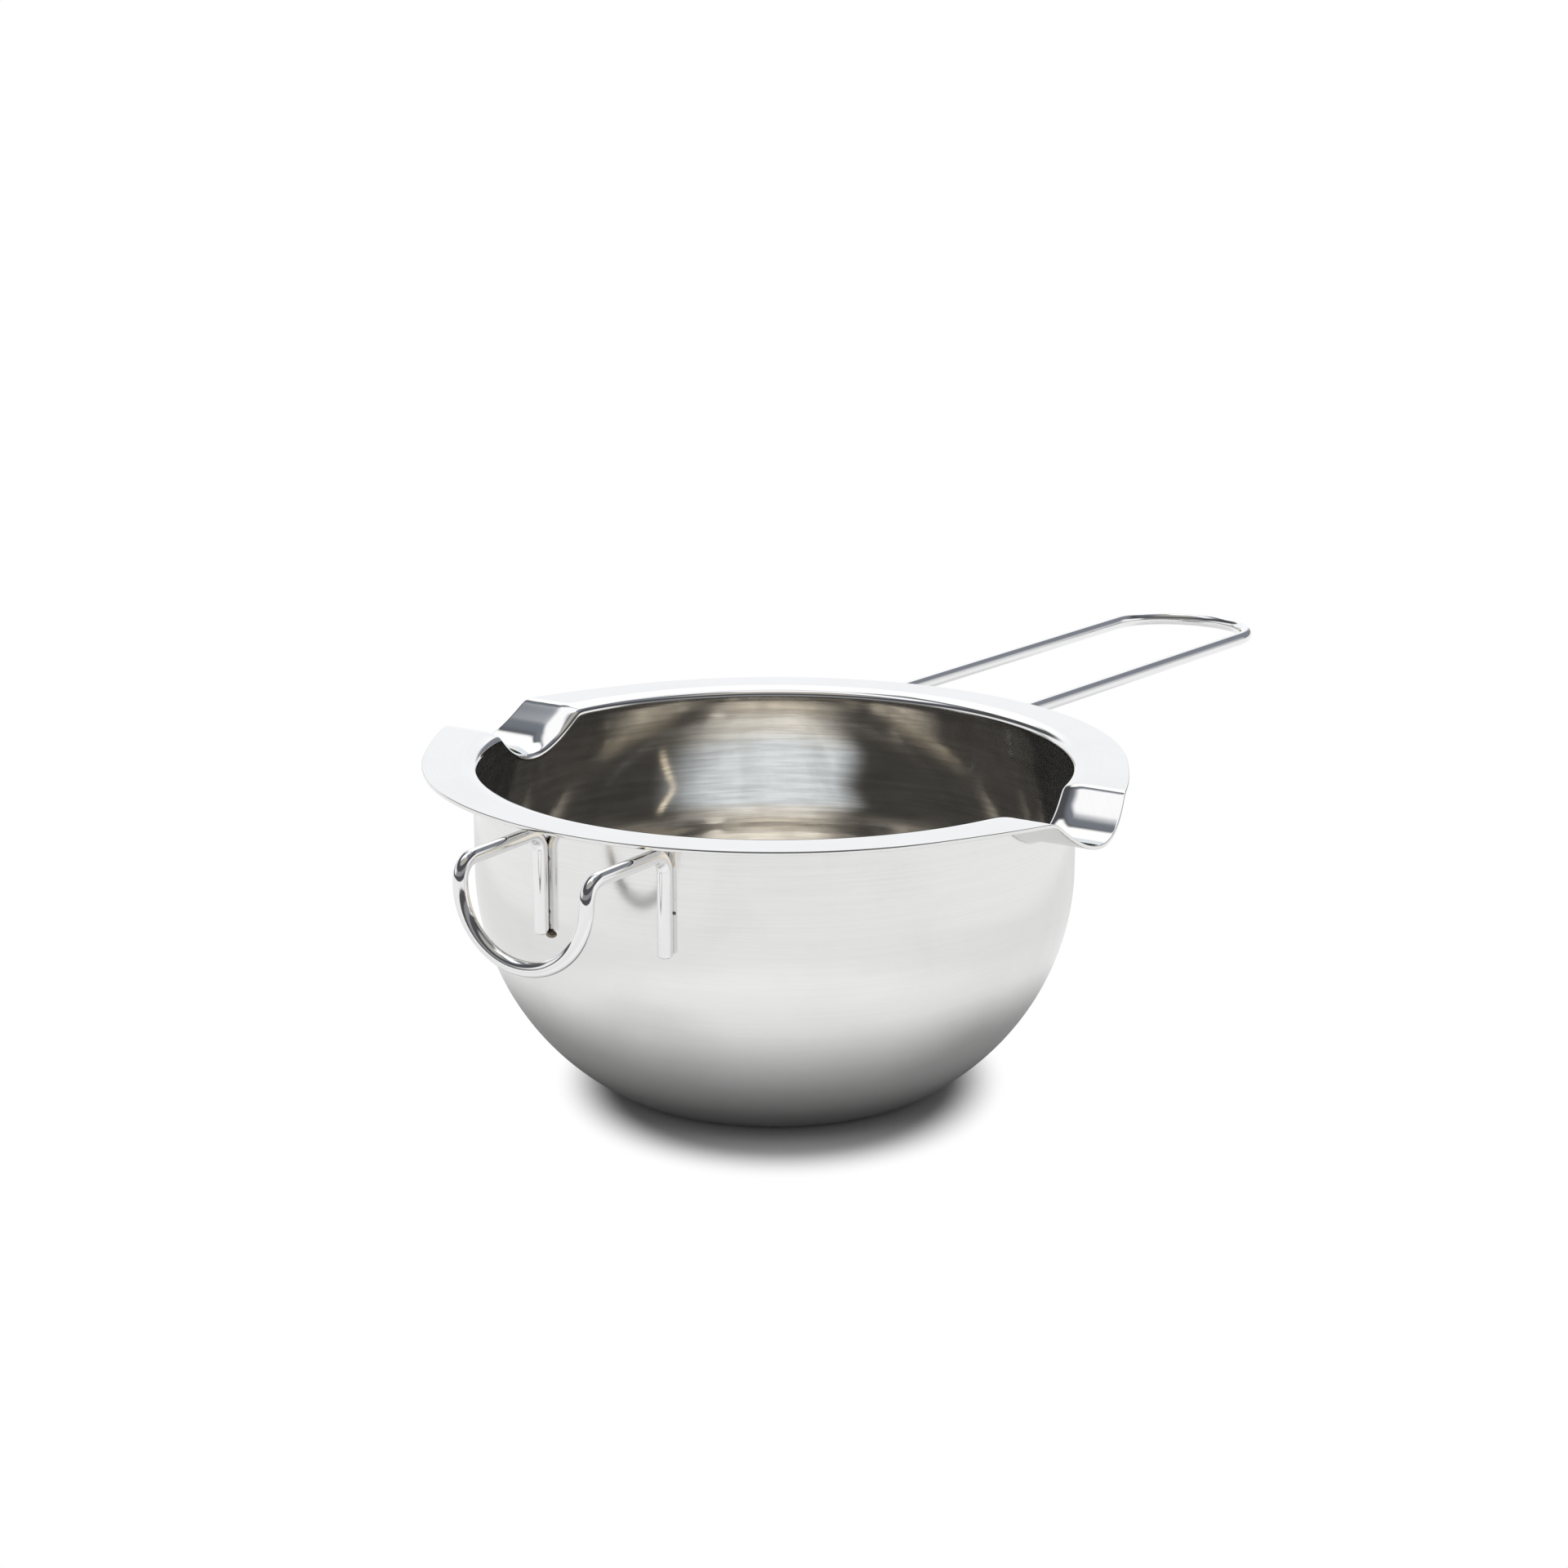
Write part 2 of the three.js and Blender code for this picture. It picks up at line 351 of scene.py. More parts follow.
def hook_path():
    near = -leg_distance(HOOK_SIDE)
    loop_level = HOOK_LEVEL - WIRE_BEND_RADIUS - HOOK_STRAIGHT - HOOK_SIDE
    half = [
        (Vector((near, HOOK_SIDE, HOOK_LEVEL)), WIRE_BEND_RADIUS),
        (Vector((HOOK_FAR, HOOK_SIDE, HOOK_LEVEL)), WIRE_BEND_RADIUS),
        (Vector((HOOK_FAR, HOOK_SIDE, loop_level)), HOOK_SIDE),
    ]
    corners = half + [(OTHER_SIDE @ place, radius) for place, radius in reversed(half)]
    start = Vector((near, HOOK_SIDE, HOOK_LEVEL - WIRE_LEG_LENGTH))
    return bent_path(start, corners, OTHER_SIDE @ start)


print(f"Legs {MM * WIRE_LEG_LENGTH:.1f} mm long")

# %% [markdown]
# Smooth shading shares one normal between the faces that meet at a point. Beside a cut end or a bend
# that would tilt the shading all along the next straight run, and polished wire would show it. An
# extra ring close to both ends of each straight run keeps the tilt where it belongs.

# %% Support rings and softened ends
CUT_SOFTNESS = 0.00035
CUT_STEPS = 4
SUPPORT = 0.0006
LONG_RUN = 4 * SUPPORT


def supported(stations):
    """Adds a station close to both ends of each long straight run."""
    result = [stations[0]]
    for (here, _), (there, direction) in zip(stations, stations[1:]):
        run = there - here
        if run.length > LONG_RUN:
            along = run.normalized()
            result += [(here + along * SUPPORT, along), (there - along * SUPPORT, along)]
        result.append((there, direction))
    return result


def softened_ends(stations):
    """Stations with a radius each. The first and last few round off the cut ends."""
    turns = [QUARTER * i / CUT_STEPS for i in range(CUT_STEPS + 1)]
    cap = [(CUT_SOFTNESS * (1 - math.cos(a)), WIRE_RADIUS - CUT_SOFTNESS * (1 - math.sin(a)))
           for a in turns]
    (start, first), (end, last) = stations[0], stations[-1]
    head = [(start + first * along, first, radius) for along, radius in cap]
    tail = [(end - last * along, last, radius) for along, radius in reversed(cap)]
    middle = [(place, direction, WIRE_RADIUS) for place, direction in stations[1:-1]]
    return head + middle + tail


print(f"Cut ends softened by {MM * CUT_SOFTNESS:.2f} mm")

# %% Carrying a ring along a path
WIRE_SIDES = 28


def sweep(name, stations):
    """A round wire with a UV map: metres along it, and the share of a turn around it."""
    mesh = bmesh.new()
    uv = mesh.loops.layers.uv.new("wire")
    place, direction, _ = stations[0]
    side = direction.orthogonal().normalized()
    rings, lengths, travelled = [], [], 0.0
    for here, heading, radius in stations:
        side = direction.rotation_difference(heading) @ side
        across = heading.cross(side)
        travelled += (here - place).length
        angles = [2 * math.pi * i / WIRE_SIDES for i in range(WIRE_SIDES)]
        rings.append([mesh.verts.new(here + radius * (side * math.cos(a) + across * math.sin(a)))
                      for a in angles])
        lengths.append(travelled)
        place, direction = here, heading
    for n, (lower, upper) in enumerate(zip(rings, rings[1:])):
        for i in range(WIRE_SIDES):
            j = (i + 1) % WIRE_SIDES
            face = mesh.faces.new((lower[i], lower[j], upper[j], upper[i]))
            face.smooth = True
            turns = (i, i + 1, i + 1, i)
            for loop, turn, along in zip(face.loops, turns, (n, n, n + 1, n + 1)):
                loop[uv].uv = (lengths[along], turn / WIRE_SIDES)
    mesh.faces.new(reversed(rings[0]))
    mesh.faces.new(rings[-1])
    return finish_mesh(mesh, name)


handle = sweep("handle_wire", softened_ends(supported(handle_path())))
hook = sweep("hook_wire", softened_ends(supported(hook_path())))
for piece, node in ((handle, "handle"), (hook, "pan_hook")):
    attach(piece, "root")
    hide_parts(node)
    print(piece.name, len(piece.data.vertices), "points")

# %% [markdown]
# ## Welds
# Each leg is resistance welded to the wall: a current melts the steel where the wire touches, so
# there is no filler, only small squeezed nuggets. A flattened ball at each place is enough. Their
# dark finish is partly heat tint and partly painted shade where the legs meet the wall. At one foot
# of the hook a larger dark blob is painted shade at the leg's foot, and beside the other leg one
# small dark point is added.

# %% Weld nuggets
UP = Vector((0, 0, 1))
NUGGET_FINENESS = 3
WELD_SHARES = (0.06, 0.2, 0.72)
WELD_ASIDE = 0.00055
NUGGET = (0.00034, 0.00022, 0.0005)
# A larger dark blob at one foot of the hook: painted shade at the leg's foot.
PAINTED_FOOT_SHADE_SHARE, PAINTED_FOOT_SHADE_ASIDE, PAINTED_FOOT_SHADE = -0.01, 0.0010, (0.0011, 0.0007, 0.0006)
# One small dark point beside the other leg of the hook.
DARK_POINT_SHARE, DARK_POINT_ASIDE, DARK_POINT = 0.41, 0.0012, (0.00025, 0.0002, 0.0003)


def weld_places():
    """For every nugget: its leg's foot, how far up the leg, how far aside, and its half sizes."""
    handle_leg = Vector((leg_distance(HANDLE_SIDE), HANDLE_SIDE, handle_low.z))
    hook_leg = Vector((-leg_distance(HOOK_SIDE), HOOK_SIDE, HOOK_LEVEL - WIRE_LEG_LENGTH))
    for leg in (handle_leg, hook_leg):
        for foot in (leg, OTHER_SIDE @ leg):
            for share in WELD_SHARES:
                yield foot, share, WELD_ASIDE, NUGGET
                yield foot, share, -WELD_ASIDE, NUGGET
    # Painted shade at one foot of the hook.
    yield hook_leg, PAINTED_FOOT_SHADE_SHARE, PAINTED_FOOT_SHADE_ASIDE, PAINTED_FOOT_SHADE
    # A small dark point beside the other hook leg.
    yield OTHER_SIDE @ hook_leg, DARK_POINT_SHARE, DARK_POINT_ASIDE, DARK_POINT


def make_welds():
    mesh = bmesh.new()
    for foot, share, aside, half_sizes in weld_places():
        out = Vector((foot.x, foot.y, 0)).normalized()
        across = UP.cross(out)
        place = out * WALL_RADIUS + across * aside + UP * (foot.z + share * WIRE_LEG_LENGTH)
        turn = Matrix((across, out, UP)).transposed().to_4x4()
        shape = Matrix.Translation(place) @ turn @ Matrix.Diagonal((*half_sizes, 1))
        bmesh.ops.create_icosphere(mesh, subdivisions=NUGGET_FINENESS, radius=1, matrix=shape)
    for face in mesh.faces:
        face.smooth = True
    return finish_mesh(mesh, "weld_nuggets")


welds = make_welds()
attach(welds, "root")
print("Welds:", len(list(weld_places())), "points")

# %% [markdown]
# ## Building materials with code
# A node material is a small graph. It could be drawn by hand in the Shader Editor, but a recipe in
# code can be read, repeated and changed. A few helpers keep the recipes short: one adds a node and
# fills or links its inputs, and the others wrap the nodes that come back most often.

# %% Node helpers
MIX_SHARE, MIX_FIRST, MIX_SECOND, MIX_COLOUR = 0, 6, 7, 2


def add(tree, kind, inputs=None, **settings):
    """Adds a node. Each input is a value, or a socket to link."""
    made = tree.nodes.new(kind)
    for name, value in settings.items():
        setattr(made, name, value)
    for key, value in (inputs or {}).items():
        if isinstance(value, bpy.types.NodeSocket):
            tree.links.new(value, made.inputs[key])
        else:
            made.inputs[key].default_value = value
    return made


def calc(tree, operation, *values):
    """The result of a Math node."""
    return add(tree, "ShaderNodeMath", dict(enumerate(values)), operation=operation).outputs[0]


def remap(tree, value, low, high, to_low, to_high, kind="SMOOTHSTEP"):
    """A value carried from one range to another, and held at its ends."""
    inputs = {"Value": value, "From Min": low, "From Max": high, "To Min": to_low, "To Max": to_high}
    return add(tree, "ShaderNodeMapRange", inputs, interpolation_type=kind).outputs["Result"]


def dot(tree, vector, other):
    """How far one vector reaches along another."""
    made = add(tree, "ShaderNodeVectorMath", {0: vector, 1: other}, operation="DOT_PRODUCT")
    return made.outputs["Value"]


def blend_colour(tree, share, first, second):
    """The first colour where the share is 0, and the second where it is 1."""
    inputs = {MIX_SHARE: share, MIX_FIRST: first, MIX_SECOND: second}
    return add(tree, "ShaderNodeMix", inputs, data_type="RGBA").outputs[MIX_COLOUR]


print("Helpers for nodes, sums, ranges and colours")


# %% Group helpers
def new_group(name, inputs, outputs):
    """A shader node group with named number sockets. Returns its tree and both ends."""
    group = bpy.data.node_groups.new(name, "ShaderNodeTree")
    for label, value in inputs.items():
        socket = group.interface.new_socket(label, in_out="INPUT", socket_type="NodeSocketFloat")
        socket.default_value = value
    for label in outputs:
        group.interface.new_socket(label, in_out="OUTPUT", socket_type="NodeSocketFloat")
    return group, add(group, "NodeGroupInput").outputs, add(group, "NodeGroupOutput").inputs


def add_group(tree, group, inputs):
    return add(tree, "ShaderNodeGroup", inputs, node_tree=group)


print("Helpers for node groups")

# %% [markdown]
# ## Turned lines
# A bowl is polished while it spins, so its fine lines run round it. A noise texture is stretched to
# make them: it changes fast up the section and slowly round the turn. The height plus the distance
# from the axis grows all the way along the section, so it counts the lines on the base and on the
# wall alike. Most finishes use this effect, so it is a node group.

# %% The turned lines group
def turned_lines_group():
    group, given, result = new_group("turned_lines", {"Lines per Metre": 1800, "Run": 3}, ["Lines"])
    place = add(group, "ShaderNodeTexCoord").outputs["Object"]
    parts = add(group, "ShaderNodeSeparateXYZ", {0: place}).outputs
    level = add(group, "ShaderNodeCombineXYZ", {"X": parts["X"], "Y": parts["Y"]}).outputs[0]
    radius = add(group, "ShaderNodeVectorMath", {0: level}, operation="LENGTH").outputs["Value"]
    round_turn = add(group, "ShaderNodeVectorMath", {0: level}, operation="NORMALIZE").outputs[0]
    along = calc(group, "ADD", radius, parts["Z"])
    up_section = calc(group, "MULTIPLY", along, given["Lines per Metre"])
    upward = add(group, "ShaderNodeCombineXYZ", {"Z": up_section}).outputs[0]
    run = {0: round_turn, "Scale": given["Run"]}
    scaled = add(group, "ShaderNodeVectorMath", run, operation="SCALE").outputs[0]
    sums = {0: scaled, 1: upward}
    stretched = add(group, "ShaderNodeVectorMath", sums, operation="ADD").outputs[0]
    grain = {"Vector": stretched, "Scale": 1, "Detail": 3, "Roughness": 0.6}
    noise = add(group, "ShaderNodeTexNoise", grain)
    group.links.new(noise.outputs["Fac"], result["Lines"])
    return group


turned_lines = turned_lines_group()
print("Group:", turned_lines.name)

# %% [markdown]
# ## Handling marks
# Steel that has been wiped and held is never evenly clean. A soft cloudy noise, with its middle
# pulled apart, gives patches that are a little duller than the rest. A second, finer noise is the
# slight ripple that pressing leaves in a sheet. Every metal finish uses both.

# %% The handling marks group
PATCH_RANGE = (0.42, 0.68)
RIPPLE_FINENESS = 1.7


def handling_marks_group():
    group, given, result = new_group("handling_marks", {"Patches per Metre": 60}, ["Marks", "Ripple"])
    place = add(group, "ShaderNodeTexCoord").outputs["Object"]
    patches = {"Vector": place, "Scale": given["Patches per Metre"], "Detail": 5, "Roughness": 0.62,
               "Distortion": 0.8}
    cloud = add(group, "ShaderNodeTexNoise", patches)
    group.links.new(remap(group, cloud.outputs["Fac"], *PATCH_RANGE, 0, 1), result["Marks"])
    finer = calc(group, "MULTIPLY", given["Patches per Metre"], RIPPLE_FINENESS)
    ripple = add(group, "ShaderNodeTexNoise", {"Vector": place, "Scale": finer, "Detail": 1})
    group.links.new(ripple.outputs["Fac"], result["Ripple"])
    return group


handling_marks = handling_marks_group()
print("Group:", handling_marks.name)

# %% [markdown]
# ## Steel
# Every piece is bare stainless steel, so its colour is the share of light that the metal gives back.
# What sets the finishes apart is their polish. Each could be drawn by hand as a material of its own,
# but they share most of their nodes, so one function builds them all. Lines and marks blend a bright
# colour with a dull one, vary the roughness a little, and bump the surface by a few microns.

# %% Steel from lines and marks
STEEL = (0.79, 0.79, 0.785, 1)
STEEL_DULL = (0.74, 0.735, 0.725, 1)
PATCHES_PER_METRE = 55
MARKS_IN_COLOUR, MARKS_IN_ROUGHNESS = 0.35, 0.5
LINE_RANGE, UNEVEN_RANGE = (0.35, 0.65), (0.2, 1.1)


def steel_material(name, lines_of, roughness, roughness_spread, line_depth, ripple_depth,
                   bright=STEEL, dull=STEEL_DULL, line_share=0.3, metallic=1):
    """A steel finish. lines_of puts the line effect in the tree and returns its value."""
    material = bpy.data.materials.new(name)
    material.use_nodes = True
    tree = material.node_tree
    shader = tree.nodes["Principled BSDF"].inputs
    shader["Metallic"].default_value = metallic
    shader["Specular IOR Level"].default_value = 0
    lines = lines_of(tree)
    marks = add_group(tree, handling_marks, {"Patches per Metre": PATCHES_PER_METRE}).outputs
    dull_lines = remap(tree, lines, *LINE_RANGE, 0, line_share)
    worn = calc(tree, "MULTIPLY_ADD", marks["Marks"], MARKS_IN_COLOUR, dull_lines)
    tree.links.new(blend_colour(tree, worn, bright, dull), shader["Base Color"])
    uneven = calc(tree, "MULTIPLY_ADD", marks["Marks"], MARKS_IN_ROUGHNESS, lines)
    smoothest, roughest = roughness - roughness_spread, roughness + roughness_spread
    rough = remap(tree, uneven, *UNEVEN_RANGE, smoothest, roughest, "LINEAR")
    tree.links.new(rough, shader["Roughness"])
    wavy = add(tree, "ShaderNodeBump", {"Height": marks["Ripple"], "Distance": ripple_depth})
    lined = {"Height": lines, "Distance": line_depth, "Normal": wavy.outputs[0]}
    tree.links.new(add(tree, "ShaderNodeBump", lined).outputs[0], shader["Normal"])
    return material


print("Marks:", PATCHES_PER_METRE, "patches per metre")

# %% Lines on the sheet and on the wire
DRAWN_ROUND, DRAWN_PER_METRE = 9, 90


def turned(lines_per_metre, run):
    """Places the turned lines with their own spacing."""
    def place(tree):
        values = {"Lines per Metre": lines_per_metre, "Run": run}
        return add_group(tree, turned_lines, values).outputs["Lines"]

    return place


def drawn(tree):
    """Lines along a wire, from its UV map: metres along it and the share of a turn around it."""
    uv = add(tree, "ShaderNodeUVMap", uv_map="wire").outputs[0]
    parts = add(tree, "ShaderNodeSeparateXYZ", {0: uv}).outputs
    turn = calc(tree, "MULTIPLY", parts["Y"], 2 * math.pi)
    ring_x = calc(tree, "MULTIPLY", calc(tree, "COSINE", turn), DRAWN_ROUND)
    ring_y = calc(tree, "MULTIPLY", calc(tree, "SINE", turn), DRAWN_ROUND)
    along = calc(tree, "MULTIPLY", parts["X"], DRAWN_PER_METRE)
    stretched = add(tree, "ShaderNodeCombineXYZ", {"X": ring_x, "Y": ring_y, "Z": along}).outputs[0]
    noise = add(tree, "ShaderNodeTexNoise", {"Vector": stretched, "Scale": 1, "Detail": 2})
    return noise.outputs["Fac"]


print("Drawn lines:", DRAWN_PER_METRE, "changes per metre of wire")

# %% [markdown]
# ## Five finishes
# The wall outside is satin, the inside has its turned lines, the rim is bright, and the wire keeps the
# long lines of its drawing die. The welds are dark: partly heat tint, partly painted shade where the
# legs meet the wall. One polish for everything would be simpler, but each of these mirrors the room
# in its own way. The finest lines inside the bowl scatter a little light to all sides, so that finish
# is a trace less than fully metallic.

# %% The finishes
SPUN = (0.87, 0.865, 0.855, 1)
SPUN_DULL = (0.60, 0.59, 0.57, 1)
WIRE = (0.83, 0.83, 0.835, 1)
WIRE_DULL = (0.78, 0.78, 0.775, 1)
# The welds' dark colours: partly heat tint, partly painted shade where the legs meet the wall.
WELD_TINT_AND_SHADE = (0.24, 0.20, 0.16, 1)
WELD_TINT_AND_SHADE_DARK = (0.08, 0.07, 0.065, 1)

satin_outside = steel_material("satin_outside", turned(2600, run=2), roughness=0.15,
                               roughness_spread=0.03, line_depth=1.2e-6, ripple_depth=6e-6)
spun_inside = steel_material("spun_inside", turned(1300, run=3), roughness=0.07,
                             roughness_spread=0.025, line_depth=4e-6, ripple_depth=3e-6,
                             bright=SPUN, dull=SPUN_DULL, line_share=0.6, metallic=0.975)
bright_rim = steel_material("bright_rim", turned(2600, run=3), roughness=0.06,
                            roughness_spread=0.02, line_depth=4e-7, ripple_depth=3e-6)
bright_wire = steel_material("bright_wire", drawn, roughness=0.08,
                             roughness_spread=0.03, line_depth=1e-6, ripple_depth=2e-6,
                             bright=WIRE, dull=WIRE_DULL)
# Dark weld finish: partly heat tint, partly painted shade at the contact of leg and wall.
weld_tint_and_shade = steel_material("weld_tint_and_shade", turned(2600, run=3), roughness=0.35,
                           roughness_spread=0.1, line_depth=1e-6, ripple_depth=6e-6,
                           bright=WELD_TINT_AND_SHADE, dull=WELD_TINT_AND_SHADE_DARK)

for piece, finishes in ((bowl, (satin_outside, spun_inside, bright_rim)), (handle, (bright_wire,)),
                        (hook, (bright_wire,)), (welds, (weld_tint_and_shade,))):
    for finish in finishes:
        piece.data.materials.append(finish)
    print(piece.name, "in", ", ".join(finish.name for finish in finishes))

# %% [markdown]
# ## Floor
# The bowl stands on a plain white sheet that ends a little in front of it, on the camera's side, and
# runs on far behind it. A catalogue picture keeps only the core of the shadow and turns the rest of
# the sheet into pure white. Retouching could do that, but the sheet's material can do it too. Away
# from the bowl, rays from the camera meet plain white, and so do mirror rays further off. The oval
# that keeps its shadow is a little narrower from left to right than from front to back.
#
# Polished steel would also throw bright curves of light back on the sheet, and a catalogue picture
# shows none. So rays that go from the paper to the steel find only black paper and, later, a black
# studio. From below, the sheet lets everything through, and under the base it lets mirror rays
# through, so that the underside can be looked at.

# %% The sheet's material
CAMERA_HEADING = math.radians(32.9)
FAR = Vector((math.cos(CAMERA_HEADING), math.sin(CAMERA_HEADING), 0))
RIGHT = Vector((math.sin(CAMERA_HEADING), -math.cos(CAMERA_HEADING), 0))
FLOOR_WHITE = (0.97, 0.97, 0.97, 1)
# Further from the bowl the paper is painted a little greyer: painted shade, as if the sheet were less
# lit there.
FLOOR_PAINTED_SHADE = (0.865, 0.865, 0.865, 1)
BLACK = (0, 0, 0, 1)
SHADOW_NARROWING = 1.33
SHADOW_SHIFT = 0.001
SHADOW_FADE = (0.038, 0.0525)
PAINTED_SHADE_FROM = (0.092, 0.145)
MIRROR_FADE = (0.202, 0.230)
BASE_SHADE = 0.026
HALF_BOUNCE = 0.5


def before(tree, count, bounce):
    """1 while the count is below this bounce, and 0 from there on. Counts are whole numbers."""
    return calc(tree, "LESS_THAN", count, bounce - HALF_BOUNCE)


def from_bowl(tree, place):
    """How far a place lies from the bowl's middle, with the way from left to right stretched."""
    along = dot(tree, place, FAR)
    aside = dot(tree, place, RIGHT * SHADOW_NARROWING)
    aside = calc(tree, "SUBTRACT", aside, SHADOW_SHIFT * SHADOW_NARROWING)
    square = calc(tree, "MULTIPLY_ADD", along, along, calc(tree, "MULTIPLY", aside, aside))
    return calc(tree, "SQRT", square)


def white_sheet():
    material = bpy.data.materials.new("white_sheet")
    material.use_nodes = True
    tree = material.node_tree
    shader = tree.nodes["Principled BSDF"]
    shader.inputs["Roughness"].default_value = 1
    shader.inputs["Specular IOR Level"].default_value = 0
    seen = add(tree, "ShaderNodeNewGeometry").outputs
    path = add(tree, "ShaderNodeLightPath").outputs
    away = from_bowl(tree, seen["Position"])
    straight = before(tree, path["Diffuse Depth"], 1)
    # Painted shade: the paper turns grey further from the bowl.
    paper = blend_colour(tree, remap(tree, away, *PAINTED_SHADE_FROM, 0, 1), FLOOR_WHITE, FLOOR_PAINTED_SHADE)
    tree.links.new(blend_colour(tree, straight, BLACK, paper), shader.inputs["Base Color"])
    camera_white = calc(tree, "MULTIPLY", path["Is Camera Ray"], remap(tree, away, *SHADOW_FADE, 0, 1))
    mirror_white = calc(tree, "MULTIPLY", path["Is Glossy Ray"], remap(tree, away, *MIRROR_FADE, 0, 1))
    share = calc(tree, "MAXIMUM", camera_white, mirror_white)
    white = add(tree, "ShaderNodeEmission").outputs[0]
    above = add(tree, "ShaderNodeMixShader", {0: share, 1: shader.outputs[0], 2: white})
    under_base = calc(tree, "LESS_THAN", away, BASE_SHADE)
    from_base = calc(tree, "MULTIPLY", path["Is Glossy Ray"], under_base)
    through = calc(tree, "MAXIMUM", seen["Backfacing"], from_base)
    clear = add(tree, "ShaderNodeBsdfTransparent").outputs[0]
    both = add(tree, "ShaderNodeMixShader", {0: through, 1: above.outputs[0], 2: clear})
    tree.links.new(both.outputs[0], tree.nodes["Material Output"].inputs["Surface"])
    return material


paper_white = white_sheet()
print("Material:", paper_white.name)

# %% The floor
FLOOR_FRONT, FLOOR_BACK, FLOOR_SIDE = 0.30, 12, 1.2
FLOOR_GAP = 0.0001


def make_floor():
    data = bpy.data.meshes.new("floor")
    corners = [(-FLOOR_FRONT, -1), (-FLOOR_FRONT, 1), (FLOOR_BACK, 1), (FLOOR_BACK, -1)]
    places = [FAR * along + RIGHT * FLOOR_SIDE * side - UP * FLOOR_GAP for along, side in corners]
    data.from_pydata(places, [], [(0, 1, 2, 3)])
    data.materials.append(paper_white)
    sheet = bpy.data.objects.new("floor", data)
    bpy.context.scene.collection.objects.link(sheet)
    return sheet


floor = make_floor()
print("Floor:", 2 * FLOOR_SIDE, "m wide")

# %% [markdown]
# ## Light
# The photograph has soft light from overhead, and a little from the camera's side: the shadow lies
# under the bowl, its core has a clear edge, and the rest fades out slowly. One lamp gives either a
# clear edge or a slow fade. So a small softbox makes the core and a wide diffuser round it makes the
# fade, both as round area lamps. Mirror rays don't see them, because the studio further down shows
# its lamp to them at a brightness that a picture can hold.

# %% The lamps
LAMP_HEIGHT = 0.95
SOFTBOX_SIZE, SOFTBOX_NEARER, SOFTBOX_WATTS = 0.42, 0.19, 4.5
DIFFUSER_SIZE, DIFFUSER_NEARER, DIFFUSER_WATTS = 1.30, 0.32, 4.2


def make_lamp(name, size, nearer, watts):
    data = bpy.data.lights.new(name, "AREA")
    data.shape = "DISK"
    data.size = size
    data.energy = watts
    lamp = bpy.data.objects.new(name, data)
    lamp.location = UP * LAMP_HEIGHT - FAR * nearer
    lamp.visible_glossy = False
    lamp.visible_camera = False
    bpy.context.scene.collection.objects.link(lamp)
    print(f"{name}: {size} m across, {LAMP_HEIGHT} m up")


make_lamp("overhead_softbox", SOFTBOX_SIZE, SOFTBOX_NEARER, SOFTBOX_WATTS)
make_lamp("overhead_diffuser", DIFFUSER_SIZE, DIFFUSER_NEARER, DIFFUSER_WATTS)

# %% [markdown]
# ## Studio
# Polished steel has no colour of its own to speak of: it shows the room. Panels could be modelled as
# bright planes, but a world needs no more than two angles for each direction: the heading, from the
# far side round to the right, and the elevation. Most pairs of angles below say where a panel's edge
# fades from nothing to full.
#
# A real studio stands close to the bowl, so the rim and the inside look at it from different sides. A
# world is endlessly far away and can't do that. So the studio has two views, a narrow one for the
# first mirror that a ray meets and a wide one for the mirrors after it.

# %% Angles and panels
HALF_TURN = 180


def room_angles(tree):
    """Heading and elevation of a direction in degrees."""
    direction = add(tree, "ShaderNodeTexCoord").outputs["Generated"]
    turn = calc(tree, "ARCTAN2", dot(tree, direction, RIGHT), dot(tree, direction, FAR))
    rise = calc(tree, "ARCSINE", dot(tree, direction, UP))
    return calc(tree, "DEGREES", turn), calc(tree, "DEGREES", rise)


def beside(tree, heading, middle):
    """Degrees to either side of a heading."""
    return calc(tree, "ABSOLUTE", calc(tree, "SUBTRACT", heading, middle))


def panel(tree, *edges):
    """The share of a panel from its edges. Each is an angle and the pair where it goes from 0 to 1."""
    share = 1
    for angle, (nothing, full) in edges:
        share = calc(tree, "MULTIPLY", share, remap(tree, angle, nothing, full, 0, 1))
    return share


def sliding_edge(tree, elevation, rise, low, high):
    """An edge that moves from the low pair of angles to the high pair as the elevation rises."""
    return [remap(tree, elevation, *rise, a, b, "LINEAR") for a, b in zip(low, high)]


def layered(tree, colour, panels):
    """A room's colour with its panels laid over it, one after the other."""
    for share, panel_colour in panels:
        colour = blend_colour(tree, share, colour, panel_colour)
    return colour


print("Headings go from", -HALF_TURN, "to", HALF_TURN, "degrees")

# %% The lamp in the mirrors
LAMP = (1.25, 1.25, 1.27, 1)
LAMP_LEFT, LAMP_RIGHT, LAMP_OVERHEAD = (-110, -90), (57, 45), (80, 84)
LAMP_EDGE_HEADINGS, LAMP_EDGE_ELEVATIONS, LAMP_EDGE_SOFT = (-55, -38), (56.5, 61), 4


def lamp_share(tree, heading, elevation):
    """The lamp. Its lower edge is higher on the right, and straight overhead it fills everything."""
    edge = remap(tree, heading, *LAMP_EDGE_HEADINGS, *LAMP_EDGE_ELEVATIONS, "LINEAR")
    above = calc(tree, "SUBTRACT", elevation, edge)
    front = panel(tree, (above, (-LAMP_EDGE_SOFT, LAMP_EDGE_SOFT)), (heading, LAMP_LEFT),
                  (heading, LAMP_RIGHT))
    return calc(tree, "MAXIMUM", front, panel(tree, (elevation, LAMP_OVERHEAD)))


print("Lamp above", LAMP_EDGE_ELEVATIONS[0], "degrees")

